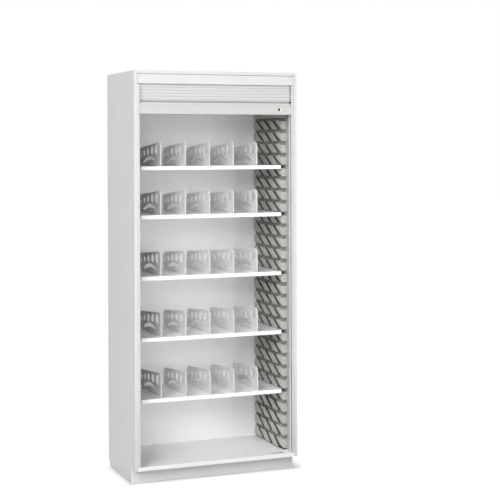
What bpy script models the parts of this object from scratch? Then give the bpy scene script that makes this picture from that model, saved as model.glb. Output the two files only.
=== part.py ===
"""Tall storage cabinet with a roller shutter, moulded wall liners, shelves and plug-in dividers.

Metres, +Z up. The origin is on the floor, under the middle of the cabinet. The shutter side
faces -Y, and a depth d is measured from that front plane towards the back.
"""
import math

import bmesh
import bpy
from mathutils import Matrix, Vector

# Carcass
WIDTH = 0.900
DEPTH = 0.506
HEIGHT = 2.120
BOARD = 0.016
CLEAR = 0.0003
KICK_HEIGHT = 0.0775
KICK_RECESS = 0.0705
SKIRT_CUT = 0.039
SILL_HEIGHT = 0.004
SILL_THICK = 0.0035
FASCIA_HEIGHT = 0.0475
FASCIA_GAP = 0.0035
FASCIA_RECESS = 0.002
FASCIA_THICK = 0.0132

# Guides: a channel on each side panel, open towards the middle
GUIDE_REACH = 0.0125
GUIDE_LIP = 0.003
GUIDE_WEB = 0.0025
GUIDE_SLOT = 0.0178
GUIDE_BACK = 0.0175

# Shutter: a bottom bar and a stack of ribbed leaves that draw down one after another
BAR_HEIGHT = 0.0626
BAR_THICK = 0.0157
BAR_GROOVE = 0.0022
BAR_GROOVE_DROP = 0.012
BAR_ROOM = 0.0006
BAR_SIDE_ROOM = 0.003
LEAF_COUNT = 10
LEAF_THICK = 0.0044
LEAF_GAP = 0.00055
LEAF_SIDE_GAP = 0.0008
LEAF_HEAD_GAP = 0.0015
LEAF_RISE = 0.0021
RIB_PITCH = 0.0156
RIB_GROOVE = 0.0034
RIB_DEPTH = 0.0016
NECK_HEIGHT = 0.0095
NECK_THICK = 0.002
HEAD_SPACE = 0.2066

# Lock: cylinder, turning plug and cam in the bar, strike plate on the floor panel
LOCK_SIDE = 0.097
LOCK_RISE = 0.0275
LOCK_FACE_RADIUS = 0.0105
LOCK_FACE_THICK = 0.002
LOCK_BODY_RADIUS = 0.009
LOCK_BODY_LENGTH = 0.0355
LOCK_PLUG_RADIUS = 0.006
LOCK_PLUG_PROUD = 0.0006
KEY_SLOT_LENGTH = 0.0075
KEY_SLOT_WIDTH = 0.0016
KEY_SLOT_DEPTH = 0.004
CAM_REACH = 0.041
CAM_WIDTH = 0.014
CAM_THICK = 0.0035
CAM_GAP = 0.001
CAM_BACK_GAP = 0.004
STRIKE_LENGTH = 0.080
STRIKE_WIDTH = 0.016
STRIKE_THICK = 0.001
STRIKE_SLOT_LENGTH = 0.067
STRIKE_SLOT_WIDTH = 0.0066

# Head box: cover panel, winding shaft and its two brackets
COVER_THICK = 0.008
COVER_RISE = 0.0111
COVER_GAP = 0.0015
SHAFT_RADIUS = 0.025
JOURNAL_RADIUS = 0.006
SHAFT_SETBACK = 0.220
SHAFT_DROP = 0.098
SHAFT_END_GAP = 0.0005
BRACKET_SIZE = 0.100
BRACKET_THICK = 0.006
ROUND_STEPS = 20

# Wall liners: a thin tray against the side panel that carries rows of slanted pads
LINER_REACH = 0.036
PAD_RELIEF = 0.013
LINER_WALL = 0.003
LINER_SETBACK = 0.005
LINER_CLEAR = 0.003
PAD_HEIGHT = 0.0485
ROW_PITCH = 0.0635
FIRST_PAD_RISE = 0.0135
PAD_BACK_MARGIN = 0.004
SLANT_RUN = 0.078
SLANT_GROOVE = 0.033
PAD_PITCH = 0.1148
FRONT_PAD_FOOT = 0.002
LINER_FRONT_ROUND = 0.022
PAD_BACK_ROUND = 0.016
PAD_ROOT = 0.001

# Shelves and dividers
SHELF_GAP = 0.00195
SHELF_ROWS_DOWN = (4, 8, 13, 18, 23)
SHELF_THICK = 0.012
SHELF_LIP = 0.020
SHELF_LIP_DEPTH = 0.009
SHELF_SIDE_GAP = 0.0005
TONGUE_GAP = 0.001
TONGUE_SETBACK = 0.030
SHELF_BACK_GAP = 0.003
DIVIDER_COUNT = 5
DIVIDER_PITCH = 0.135
DIVIDER_SHIFT = -0.005
DIVIDER_THICK = 0.006
DIVIDER_SETBACK = 0.010
DIVIDER_BACK_GAP = 0.010
DIVIDER_FRONT_HEIGHT = 0.128
DIVIDER_BACK_HEIGHT = 0.0945
DIVIDER_ROUND = 0.026
TAB_LENGTH = 0.050
TAB_INSET = 0.002
TAB_DEPTH = 0.009
HOLE_RADII = (0.0262, 0.0232, 0.0202, 0.0165, 0.0135)
HOLE_FRONT_MARGIN = 0.035
HOLE_BACK_MARGIN = 0.015
HOLE_DROP = 0.033
HOLE_ROW_RADIUS = 2.2
HOLE_POINTS = 8
GRIP_FRONT_MARGIN = 0.086
GRIP_BACK_MARGIN = 0.075
GRIP_TOP_WEB = 0.0081
GRIP_FRONT_RISE = 0.027
GRIP_BACK_RISE = 0.021
GRIP_FRONT_HALF = 0.0025
GRIP_HALF = 0.0095
GRIP_TAPER = 0.4
GRIP_STEPS = 5

# Planes that follow from the driving dimensions
FRONT = -DEPTH / 2
BACK = DEPTH / 2
INNER = WIDTH / 2 - BOARD
FLOOR_TOP = KICK_HEIGHT + BOARD
CEILING = HEIGHT - BOARD
BACK_FACE = BACK - BOARD
FASCIA_LOW = CEILING - FASCIA_GAP - FASCIA_HEIGHT
BAR_LOW = CEILING - HEAD_SPACE
GUIDE_INNER = INNER - GUIDE_REACH
SLOT_BACK = GUIDE_LIP + GUIDE_SLOT
GUIDE_DEPTH = SLOT_BACK + GUIDE_BACK
BAR_BACK = SLOT_BACK - BAR_ROOM
BAR_FRONT = BAR_BACK - BAR_THICK
BAR_HALF = INNER - GUIDE_WEB - BAR_SIDE_ROOM
BAR_TOP = BAR_LOW + BAR_HEIGHT
LEAF_LOW = BAR_LOW + LEAF_RISE
LEAF_TOP = CEILING - LEAF_HEAD_GAP
CAM_FRONT = BAR_FRONT + LOCK_BODY_LENGTH + CAM_GAP
STACK_FRONT = max(CAM_FRONT + CAM_THICK + CAM_BACK_GAP, GUIDE_DEPTH + LEAF_GAP)
LEAF_PITCH = LEAF_THICK + LEAF_GAP
STACK_BACK = STACK_FRONT + (LEAF_COUNT - 1) * LEAF_PITCH
SHELF_FRONT = STACK_BACK + SHELF_GAP
LINER_FRONT = SHELF_FRONT + LINER_SETBACK
LINER_BACK = DEPTH - BOARD - CLEAR
PAD_FACE = INNER - LINER_REACH
LINER_BASE = PAD_FACE + PAD_RELIEF
LINER_TOP = BAR_LOW + COVER_RISE - LINER_CLEAR
FIRST_PAD = FLOOR_TOP + FIRST_PAD_RISE
PAD_ROWS = int((LINER_TOP - FIRST_PAD + ROW_PITCH - PAD_HEIGHT) / ROW_PITCH)
SHELF_BACK = DEPTH - BOARD - SHELF_BACK_GAP
DIVIDER_FRONT = SHELF_FRONT + DIVIDER_SETBACK
DIVIDER_LENGTH = SHELF_BACK - DIVIDER_BACK_GAP - DIVIDER_FRONT
LOCK_X = WIDTH / 2 - LOCK_SIDE
LOCK_Z = BAR_LOW + LOCK_RISE
CAM_MID = CAM_FRONT + CAM_THICK / 2

# Colours, as linear red, green and blue
WHITE_LAMINATE = (0.80, 0.79, 0.78)
SHELF_WHITE = (0.88, 0.88, 0.88)
SHUTTER_GREY = (0.74, 0.73, 0.72)
LINER_GREY = (0.36, 0.36, 0.34)
DIVIDER_GREY = (0.66, 0.67, 0.66)
GUIDE_GREY = (0.70, 0.69, 0.68)
NICKEL = (0.62, 0.60, 0.57)
STEEL = (0.50, 0.50, 0.51)

PLANES = {
    "XY": Matrix.Identity(3),
    "XZ": Matrix(((1, 0, 0), (0, 0, -1), (0, 1, 0))),
    "YZ": Matrix(((0, 0, 1), (1, 0, 0), (0, 1, 0))),
}


def clear_scene():
    for old in list(bpy.data.objects):
        bpy.data.objects.remove(old, do_unlink=True)


def new_collection(name):
    group = bpy.data.collections.new(name)
    bpy.context.scene.collection.children.link(group)
    return group


clear_scene()
PARTS = new_collection("storage_cabinet")
CUTTERS = new_collection("storage_cabinet_cutters")


def at(depth):
    """World y of a depth behind the front plane."""
    return FRONT + depth


def finish(name, colour, roughness, metallic=0.0):
    """A Principled material of its own for one kind of piece."""
    made = bpy.data.materials.get(name)
    if made is None:
        made = bpy.data.materials.new(name)
        made.use_nodes = True
        shader = made.node_tree.nodes["Principled BSDF"]
        shader.inputs["Base Color"].default_value = (*colour, 1.0)
        shader.inputs["Roughness"].default_value = roughness
        shader.inputs["Metallic"].default_value = metallic
    return made


def add(name, data, place, material, group=None):
    """Link new object data into the scene under its name."""
    made = bpy.data.objects.new(name, data)
    made.location = place
    (group or PARTS).objects.link(made)
    if material:
        data.materials.append(material)
    return made


def block(name, low, high, material=None, group=None):
    """A plain box between two corners, with its origin at its middle."""
    low, high = Vector(low), Vector(high)
    bm = bmesh.new()
    bmesh.ops.create_cube(bm, size=1.0)
    bmesh.ops.scale(bm, vec=high - low, verts=bm.verts)
    data = bpy.data.meshes.new(name)
    bm.to_mesh(data)
    bm.free()
    return add(name, data, (low + high) / 2, material, group)


def flat(name, outlines, thickness, place, plane, material=None, group=None):
    """A filled 2D curve in one plane: a border, with any holes or further islands in it."""
    data = bpy.data.curves.new(name, "CURVE")
    data.dimensions = "2D"
    data.fill_mode = "BOTH"
    data.extrude = thickness / 2
    for points in outlines:
        spline = data.splines.new("POLY")
        spline.points.add(len(points) - 1)
        for point, (a, b) in zip(spline.points, points):
            point.co = (a, b, 0.0, 1.0)
        spline.use_cyclic_u = True
    made = add(name, data, place, material, group)
    made.rotation_euler = PLANES[plane].to_euler()
    return made


def as_mesh(made):
    """Turn a filled curve into a closed mesh object, so that it can be cut or joined."""
    bpy.context.view_layer.update()
    name, place, group = made.name, made.matrix_world.copy(), made.users_collection[0]
    solid = made.evaluated_get(bpy.context.evaluated_depsgraph_get())
    data = bpy.data.meshes.new_from_object(solid)
    bm = bmesh.new()
    bm.from_mesh(data)
    bmesh.ops.remove_doubles(bm, verts=bm.verts, dist=0.00001)
    bmesh.ops.recalc_face_normals(bm, faces=bm.faces)
    bm.to_mesh(data)
    bm.free()
    bpy.data.objects.remove(made, do_unlink=True)
    data.name = name
    piece = bpy.data.objects.new(name, data)
    piece.matrix_world = place
    group.objects.link(piece)
    return piece


def turned(name, profile, place, turn, material):
    """A turned solid: (radius, height) points spun about Z, as a ring unless they meet the axis."""
    data = bpy.data.meshes.new(name)
    points = [(radius, 0.0, height) for radius, height in profile]
    edges = [(i, i + 1) for i in range(len(points) - 1)]
    if profile[0][0] > 0:
        edges.append((len(points) - 1, 0))
    data.from_pydata(points, edges, [])
    made = add(name, data, place, material)
    made.rotation_euler = turn
    screw = made.modifiers.new("turn", "SCREW")
    screw.steps = ROUND_STEPS
    screw.render_steps = ROUND_STEPS
    screw.use_merge_vertices = True
    screw.merge_threshold = 0.00001
    return made


def cut(piece, other, operation="DIFFERENCE"):
    """Cut or join one piece with a helper, which stays hidden."""
    other.hide_render = True
    other.display_type = "WIRE"
    step = piece.modifiers.new(other.name, "BOOLEAN")
    step.operation = operation
    step.solver = "EXACT"
    step.object = other


def ring(radius, count, centre=(0.0, 0.0)):
    """Points of a circle, with its flats square to the axes."""
    turns = [2 * math.pi * (i + 0.5) / count for i in range(count)]
    return [(centre[0] + radius * math.cos(t), centre[1] + radius * math.sin(t)) for t in turns]


def arc(centre, radius, start, end, steps):
    """Points of an arc between two angles in degrees."""
    angles = [math.radians(start + (end - start) * i / steps) for i in range(steps + 1)]
    return [(centre[0] + radius * math.cos(a), centre[1] + radius * math.sin(a)) for a in angles]


LAMINATE = finish("white_laminate", WHITE_LAMINATE, 0.45)


def side_panel(name, side):
    """Side board that runs to the floor, with a toe notch in front and a skirting cut behind."""
    outline = [
        (FRONT, KICK_HEIGHT),
        (FRONT + KICK_RECESS, KICK_HEIGHT),
        (FRONT + KICK_RECESS, 0.0),
        (BACK - SKIRT_CUT, 0.0),
        (BACK, SKIRT_CUT),
        (BACK, HEIGHT),
        (FRONT, HEIGHT),
    ]
    flat(name, [outline], BOARD, (side * (WIDTH - BOARD) / 2, 0, 0), "YZ", LAMINATE)


def carcass():
    """The boards between the side panels."""
    half = INNER - CLEAR
    side_panel("side_panel_left", -1)
    side_panel("side_panel_right", 1)
    block("top_panel", (-half, FRONT, CEILING), (half, BACK, HEIGHT), LAMINATE)
    block("back_panel", (-half, BACK_FACE, KICK_HEIGHT), (half, BACK, CEILING - CLEAR), LAMINATE)
    block(
        "kick_board",
        (-half, at(KICK_RECESS), 0.0),
        (half, at(KICK_RECESS + BOARD), KICK_HEIGHT - CLEAR),
        LAMINATE,
    )
    block(
        "fascia",
        (-half, at(FASCIA_RECESS), FASCIA_LOW),
        (half, at(FASCIA_RECESS + FASCIA_THICK), CEILING - FASCIA_GAP),
        finish("white_fascia", WHITE_LAMINATE, 0.40),
    )
    sill = FLOOR_TOP + SILL_HEIGHT
    section = [
        (FRONT, KICK_HEIGHT),
        (BACK_FACE - CLEAR, KICK_HEIGHT),
        (BACK_FACE - CLEAR, FLOOR_TOP),
        (at(SILL_THICK), FLOOR_TOP),
        (at(SILL_THICK), sill),
        (FRONT, sill),
    ]
    floor = as_mesh(flat("floor_panel", [section], 2 * half, (0, 0, 0), "YZ", LAMINATE))
    slot = Vector((STRIKE_SLOT_LENGTH / 2, STRIKE_SLOT_WIDTH / 2, 2 * BOARD))
    middle = Vector((LOCK_X, at(CAM_MID), FLOOR_TOP))
    cut(floor, block("strike_slot_cut", middle - slot, middle + slot, None, CUTTERS))


def guide(name, side):
    """Channel along a side panel: a front lip, a slot for the shutter and a solid back."""
    wall, web, lip = INNER - CLEAR, INNER - GUIDE_WEB, GUIDE_INNER
    outline = [
        (wall, at(0.0)),
        (lip, at(0.0)),
        (lip, at(GUIDE_LIP)),
        (web, at(GUIDE_LIP)),
        (web, at(SLOT_BACK)),
        (lip, at(SLOT_BACK)),
        (lip, at(GUIDE_DEPTH)),
        (wall, at(GUIDE_DEPTH)),
    ]
    low, high = FLOOR_TOP + SILL_HEIGHT + CLEAR, FASCIA_LOW - CLEAR
    mirrored = [(side * x, y) for x, y in outline]
    flat(name, [mirrored], high - low, (0, 0, (low + high) / 2), "XY",
         finish("guide_channel", GUIDE_GREY, 0.40))


def rib_profile(front, back, low, high):
    """Section of a leaf: a flat back, and ribs with a V groove between them on the front."""
    points = [(back, low), (back, high), (front, high)]
    count = int((high - low) / RIB_PITCH)
    for i in range(count):
        groove = high - (i + 1) * RIB_PITCH
        if groove - RIB_GROOVE > low:
            points.append((front, groove + RIB_GROOVE / 2))
            points.append((front + RIB_DEPTH, groove))
            points.append((front, groove - RIB_GROOVE / 2))
    points.append((front, low))
    return points


def leaf_span(number):
    """Depths of a leaf's front and back face."""
    if number == 1:
        return BAR_BACK - LEAF_THICK, BAR_BACK
    front = STACK_FRONT + (number - 2) * LEAF_PITCH
    return front, front + LEAF_THICK


def leaf_half(number):
    """Half the width of a leaf: the first runs in the slots, the others behind the guides."""
    return BAR_HALF if number == 1 else INNER - LEAF_SIDE_GAP


def shutter():
    """Bottom bar and the leaves, parked one behind another in the head of the cabinet."""
    material = finish("shutter_slats", SHUTTER_GREY, 0.42)
    front, back = at(BAR_FRONT), at(BAR_BACK)
    groove = BAR_TOP - BAR_GROOVE_DROP
    outline = [
        (front, BAR_LOW),
        (back, BAR_LOW),
        (back, BAR_TOP),
        (front, BAR_TOP),
        (front, groove + BAR_GROOVE / 2),
        (front + BAR_GROOVE, groove),
        (front, groove - BAR_GROOVE / 2),
    ]
    bar = as_mesh(flat("bottom_bar", [outline], 2 * BAR_HALF, (0, 0, 0), "YZ", material))
    hole = ring(LOCK_BODY_RADIUS + CLEAR, ROUND_STEPS)
    place = (LOCK_X, (front + back) / 2, LOCK_Z)
    cut(bar, as_mesh(flat("lock_hole_cut", [hole], 2 * BAR_THICK, place, "XZ", None, CUTTERS)))
    for number in range(1, LEAF_COUNT + 1):
        front, back = (at(d) for d in leaf_span(number))
        if number == 1:
            low = BAR_TOP + NECK_HEIGHT
            outline = rib_profile(front, back, low, LEAF_TOP)
            outline.append((back - NECK_THICK, low))
            outline.append((back - NECK_THICK, BAR_TOP + CLEAR))
            outline[0] = (back, BAR_TOP + CLEAR)
        else:
            outline = rib_profile(front, back, LEAF_LOW, LEAF_TOP)
        flat(f"shutter_leaf_{number:02d}", [outline], 2 * leaf_half(number), (0, 0, 0), "YZ", material)


def lock():
    """Cylinder lock in the bar. The plug and cam turn about the lock's axis, along Y."""
    nickel = finish("nickel_lock", NICKEL, 0.25, 1.0)
    axis = (LOCK_X, at(BAR_FRONT), LOCK_Z)
    facing = (math.radians(90), 0, 0)
    bore = LOCK_PLUG_RADIUS + CLEAR
    turned(
        "lock_cylinder",
        [
            (bore, LOCK_FACE_THICK),
            (LOCK_FACE_RADIUS, LOCK_FACE_THICK),
            (LOCK_FACE_RADIUS, CLEAR),
            (LOCK_BODY_RADIUS, CLEAR),
            (LOCK_BODY_RADIUS, -LOCK_BODY_LENGTH),
            (bore, -LOCK_BODY_LENGTH),
        ],
        axis,
        facing,
        nickel,
    )
    face = LOCK_FACE_THICK + LOCK_PLUG_PROUD
    tail = CAM_FRONT - BAR_FRONT - CLEAR
    plug = turned(
        "lock_plug",
        [(0.0, face), (LOCK_PLUG_RADIUS, face), (LOCK_PLUG_RADIUS, -tail), (0.0, -tail)],
        axis,
        facing,
        nickel,
    )
    half = Vector((KEY_SLOT_WIDTH, KEY_SLOT_DEPTH * 2, KEY_SLOT_LENGTH)) / 2
    front = Vector((LOCK_X, at(BAR_FRONT) - face, LOCK_Z))
    cut(plug, block("key_slot_cut", front - half, front + half, None, CUTTERS))
    round_end = arc((CAM_REACH - CAM_WIDTH / 2, 0), CAM_WIDTH / 2, -90, 90, 6)
    root = arc((0, 0), CAM_WIDTH / 2, 90, 270, 6)
    flat("lock_cam", [round_end + root], CAM_THICK, (LOCK_X, at(CAM_MID), LOCK_Z), "XZ",
         finish("steel_cam", STEEL, 0.35, 1.0))
    border = [(sx * STRIKE_LENGTH / 2, sy * STRIKE_WIDTH / 2)
              for sx, sy in ((-1, -1), (1, -1), (1, 1), (-1, 1))]
    slot = [(sx * STRIKE_SLOT_LENGTH / 2, sy * STRIKE_SLOT_WIDTH / 2)
            for sx, sy in ((-1, -1), (1, -1), (1, 1), (-1, 1))]
    flat("strike_plate", [border, slot], STRIKE_THICK,
         (LOCK_X, at(CAM_MID), FLOOR_TOP + CLEAR + STRIKE_THICK / 2), "XY",
         finish("white_strike", SHELF_WHITE, 0.35))


def head_box():
    """Cover under the head space, and the spring shaft that balances the shutter."""
    half = INNER - CLEAR
    low = BAR_LOW + COVER_RISE
    block(
        "head_cover",
        (-half, at(STACK_BACK + COVER_GAP), low),
        (half, BACK_FACE - CLEAR, low + COVER_THICK),
        LAMINATE,
    )
    steel = finish("shaft_steel", STEEL, 0.40, 1.0)
    centre = (at(SHAFT_SETBACK), CEILING - SHAFT_DROP)
    end = INNER - CLEAR - SHAFT_END_GAP
    shoulder = INNER - CLEAR - BRACKET_THICK - SHAFT_END_GAP
    turned(
        "winding_shaft",
        [
            (0.0, end),
            (JOURNAL_RADIUS, end),
            (JOURNAL_RADIUS, shoulder),
            (SHAFT_RADIUS, shoulder),
            (SHAFT_RADIUS, -shoulder),
            (JOURNAL_RADIUS, -shoulder),
            (JOURNAL_RADIUS, -end),
            (0.0, -end),
        ],
        (0, *centre),
        (0, math.radians(90), 0),
        steel,
    )
    edge = BRACKET_SIZE / 2
    for name, side in (("shaft_bracket_left", -1), ("shaft_bracket_right", 1)):
        plate = [(-edge, -edge), (edge, -edge), (edge, edge), (-edge, edge)]
        bore = ring(JOURNAL_RADIUS + CLEAR, ROUND_STEPS)
        x = side * (INNER - CLEAR - BRACKET_THICK / 2)
        flat(name, [plate, bore], BRACKET_THICK, (x, *centre), "YZ", steel)


def pad_outlines():
    """Outlines of the pads of every row, as depth and height."""
    outlines = []
    slant = SLANT_RUN / 2
    back = LINER_BACK - PAD_BACK_MARGIN
    for row in range(PAD_ROWS):
        low = FIRST_PAD + row * ROW_PITCH
        high = low + PAD_HEIGHT
        middle = LINER_FRONT + FRONT_PAD_FOOT + SLANT_GROOVE / 2 + slant
        first = [(LINER_FRONT, low), (middle - slant - SLANT_GROOVE / 2, low),
                 (middle + slant - SLANT_GROOVE / 2, high), (LINER_FRONT, high)]
        outlines.append(first)
        while middle + PAD_PITCH + slant < back - PAD_BACK_ROUND:
            start, middle = middle + SLANT_GROOVE / 2, middle + PAD_PITCH
            end = middle - SLANT_GROOVE / 2
            outlines.append([(start - slant, low), (end - slant, low),
                             (end + slant, high), (start + slant, high)])
        start = middle + SLANT_GROOVE / 2
        reach = PAD_BACK_ROUND
        outlines.append(
            [(start - slant, low)]
            + arc((back - reach, low + reach), reach, -90, 0, 2)
            + arc((back - reach, high - reach), reach, 0, 90, 2)
            + [(start + slant, high)]
        )
    return outlines


def wall_liner(name, side):
    """Moulded lining of a side wall: an open-backed tray with rows of slanted pads."""
    material = finish("moulded_liner", LINER_GREY, 0.55)
    low = Vector((LINER_BASE, at(LINER_FRONT), FLOOR_TOP + CLEAR))
    high = Vector((INNER - CLEAR, at(LINER_BACK), LINER_TOP))
    wall = Vector((LINER_WALL, LINER_WALL, LINER_WALL))

    def mirrored(a, b):
        return ((side * a.x, a.y, a.z), (side * b.x, b.y, b.z))

    def ordered(a, b):
        first, second = mirrored(a, b)
        return [tuple(f(p, q) for p, q in zip(first, second)) for f in (min, max)]

    tray = block(name, *ordered(low, high), material)
    inside = high - Vector((-LINER_WALL, LINER_WALL, LINER_WALL))
    cut(tray, block(name + "_hollow_cut", *ordered(low + wall, inside), None, CUTTERS))
    depth = PAD_RELIEF + PAD_ROOT
    x = side * (PAD_FACE + depth / 2)
    pads = [[(at(d), z) for d, z in outline] for outline in pad_outlines()]
    pads = as_mesh(flat(name + "_pads", pads, depth, (x, 0, 0), "YZ", material, CUTTERS))
    cut(tray, pads, "UNION")
    reach = LINER_FRONT_ROUND
    corner = arc((PAD_FACE + reach, at(LINER_FRONT) + reach), reach, 180, 270, 4)
    corner += [(PAD_FACE + reach, at(0.0)), (PAD_FACE - reach, at(0.0)),
               (PAD_FACE - reach, at(LINER_FRONT) + reach)]
    corner = [(side * x, y) for x, y in corner]
    cut(tray, as_mesh(flat(name + "_round_cut", [corner], 2 * HEIGHT, (0, 0, 0), "XY", None, CUTTERS)))


def shelf_top(row):
    """Height of the top of a shelf that stands in the groove above a row of pads."""
    return FIRST_PAD + row * ROW_PITCH + PAD_HEIGHT + CLEAR + SHELF_THICK


def divider_places():
    middle = (DIVIDER_COUNT - 1) / 2
    return [DIVIDER_SHIFT + (i - middle) * DIVIDER_PITCH for i in range(DIVIDER_COUNT)]


def tab_spans():
    """Depths of the two tabs under a divider."""
    front = DIVIDER_FRONT + TAB_INSET
    back = DIVIDER_FRONT + DIVIDER_LENGTH - TAB_INSET
    return [(front, front + TAB_LENGTH), (back - TAB_LENGTH, back)]


def shelf(number, row):
    """Shelf board with tongues for the liner grooves, divider slots and a deeper front edge."""
    narrow = PAD_FACE - SHELF_SIDE_GAP
    wide = LINER_BASE - TONGUE_GAP
    front, step, back = at(SHELF_FRONT), at(SHELF_FRONT + TONGUE_SETBACK), at(SHELF_BACK)
    right = [(narrow, front), (narrow, step), (wide, step), (wide, back)]
    outline = right + [(-x, y) for x, y in reversed(right)]
    half = DIVIDER_THICK / 2 + CLEAR
    slots = []
    for x in divider_places():
        for start, end in tab_spans():
            low, high = at(start) - CLEAR, at(end) + CLEAR
            slots.append([(x - half, low), (x + half, low), (x + half, high), (x - half, high)])
    top = shelf_top(row)
    board = as_mesh(flat(f"shelf_{number}", [outline] + slots, SHELF_THICK,
                         (0, 0, top - SHELF_THICK / 2), "XY", finish("white_shelf", SHELF_WHITE, 0.35)))
    lip = block(
        f"shelf_{number}_lip",
        (-narrow, front, top - SHELF_LIP),
        (narrow, front + min(SHELF_LIP_DEPTH, DIVIDER_SETBACK), top - SHELF_THICK / 2),
        None,
        CUTTERS,
    )
    cut(board, lip, "UNION")


def divider_outlines():
    """Border, round holes and curved grip of a divider, as depth from its front and height."""
    slope = (DIVIDER_BACK_HEIGHT - DIVIDER_FRONT_HEIGHT) / DIVIDER_LENGTH

    def edge(u):
        return DIVIDER_FRONT_HEIGHT + slope * u

    reach = DIVIDER_ROUND
    border = [(0.0, 0.0)]
    for start, end in tab_spans():
        u0, u1 = start - DIVIDER_FRONT, end - DIVIDER_FRONT
        border += [(u0, 0.0), (u0, -TAB_DEPTH), (u1, -TAB_DEPTH), (u1, 0.0)]
    border.append((DIVIDER_LENGTH, 0.0))
    end = DIVIDER_LENGTH - reach
    border += arc((end, edge(end) - reach), reach, 0, 90, 2)
    border += arc((reach, edge(reach) - reach), reach, 90, 180, 3)
    web = DIVIDER_LENGTH - HOLE_FRONT_MARGIN - HOLE_BACK_MARGIN - 2 * sum(HOLE_RADII)
    web /= len(HOLE_RADII) - 1
    holes, place = [], HOLE_FRONT_MARGIN
    middle = DIVIDER_LENGTH / 2
    for radius in HOLE_RADII:
        u = place + radius
        drop = HOLE_DROP + (u - middle) ** 2 / (2 * HOLE_ROW_RADIUS)
        holes.append(ring(radius, HOLE_POINTS, (u, edge(u) - drop)))
        place += 2 * radius + web
    crown = edge(middle) - HOLE_DROP - HOLE_RADII[len(HOLE_RADII) // 2] - GRIP_TOP_WEB - GRIP_HALF
    start, end = GRIP_FRONT_MARGIN, DIVIDER_LENGTH - GRIP_BACK_MARGIN
    upper, lower = [], []
    for i in range(GRIP_STEPS + 1):
        t = i / GRIP_STEPS
        chord = GRIP_FRONT_RISE + (GRIP_BACK_RISE - GRIP_FRONT_RISE) * t
        swell = 4 * t * (1 - t)
        rise = chord + (crown - (GRIP_FRONT_RISE + GRIP_BACK_RISE) / 2) * swell
        half = GRIP_FRONT_HALF + (GRIP_HALF - GRIP_FRONT_HALF) * min(1.0, t / GRIP_TAPER)
        u = start + (end - start) * t
        upper.append((u, rise + half))
        lower.append((u, rise - half))
    return [border] + holes + [lower + upper[::-1]]


def divider(shelf_number, number, x, top):
    """Upright plate that plugs into two slots of its shelf."""
    place = (x, at(DIVIDER_FRONT), top + CLEAR)
    flat(f"divider_{shelf_number}_{number}", divider_outlines(), DIVIDER_THICK, place, "YZ",
         finish("divider_plastic", DIVIDER_GREY, 0.45))


def build():
    carcass()
    guide("guide_left", -1)
    guide("guide_right", 1)
    shutter()
    lock()
    head_box()
    wall_liner("wall_liner_left", -1)
    wall_liner("wall_liner_right", 1)
    for number, down in enumerate(SHELF_ROWS_DOWN, start=1):
        row = PAD_ROWS - 1 - down
        shelf(number, row)
        for place, x in enumerate(divider_places(), start=1):
            divider(number, place, x, shelf_top(row))


build()
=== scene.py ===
"""Dresses the storage cabinet: boards, shutter, liners, shelves, dividers, lock and a white studio."""
import math

import bmesh
import bpy
from bpy.props import FloatProperty, FloatVectorProperty, PointerProperty
from mathutils import Matrix, Vector


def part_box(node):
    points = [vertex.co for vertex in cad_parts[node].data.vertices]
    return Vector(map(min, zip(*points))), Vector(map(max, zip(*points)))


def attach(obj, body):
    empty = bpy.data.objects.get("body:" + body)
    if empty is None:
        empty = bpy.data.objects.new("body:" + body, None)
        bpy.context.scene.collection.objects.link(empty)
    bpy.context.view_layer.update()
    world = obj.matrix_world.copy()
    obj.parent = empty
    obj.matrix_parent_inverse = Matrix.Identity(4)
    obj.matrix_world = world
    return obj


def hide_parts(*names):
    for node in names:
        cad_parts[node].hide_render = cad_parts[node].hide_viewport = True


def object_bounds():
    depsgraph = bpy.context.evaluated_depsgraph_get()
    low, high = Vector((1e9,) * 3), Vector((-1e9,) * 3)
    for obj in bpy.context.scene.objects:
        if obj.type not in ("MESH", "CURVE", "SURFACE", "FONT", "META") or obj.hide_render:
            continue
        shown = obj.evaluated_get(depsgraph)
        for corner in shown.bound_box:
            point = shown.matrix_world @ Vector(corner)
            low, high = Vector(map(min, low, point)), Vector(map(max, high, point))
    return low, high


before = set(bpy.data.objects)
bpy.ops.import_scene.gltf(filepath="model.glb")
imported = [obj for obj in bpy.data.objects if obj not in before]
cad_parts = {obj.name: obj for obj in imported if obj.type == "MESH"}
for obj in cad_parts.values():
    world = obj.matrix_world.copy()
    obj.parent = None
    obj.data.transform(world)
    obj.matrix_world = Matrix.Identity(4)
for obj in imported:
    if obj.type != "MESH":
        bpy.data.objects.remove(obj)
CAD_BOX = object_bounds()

bl_info = {
    "name": "Storage Cabinet",
    "version": (1, 0, 0),
    "blender": (4, 5, 0),
    "location": "View3D > Sidebar > Cabinet",
    "description": "Builds the visible pieces of a roller shutter cabinet over its solid model",
    "category": "Object",
}

SIDES = (("left", -1), ("right", 1))
SHELVES = range(1, 6)
DIVIDERS = range(1, 6)
LEAVES = range(1, 11)
X, Y, Z = (1, 0, 0), (0, 1, 0), (0, 0, 1)
NEAR, TINY = 1e-3, 1e-6

# Divider holes from front to back: share of the plate's length, radius
HOLES = ((0.1645, 0.0262), (0.380, 0.0232), (0.579, 0.0202), (0.760, 0.0165), (0.9235, 0.0135))
# Arches of the grip: start, stop and crown as shares of the length, height of the crown, curve
GRIP_OVER = (0.216, 0.818, 0.495, 0.0522, 2.0)
GRIP_UNDER = (0.766, 0.222, 0.430, 0.0325, 1.3)
GRIP_END = (0.808, 0.0155)
# Places behind a liner's front: end of the mouth's dip, the stop's front, back and foot
MOUTH = (0.022, 0.036, 0.050, 0.056)
BEND_STEPS = (0.011, 0.022, 0.036, 0.050)
# Lock collar from its rim inward: distance from the rim, distance behind the face
COLLAR = ((0.0, 0.0010), (0.0003, 0.0004), (0.0009, 0.0), (0.0015, 0.0004))
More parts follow.
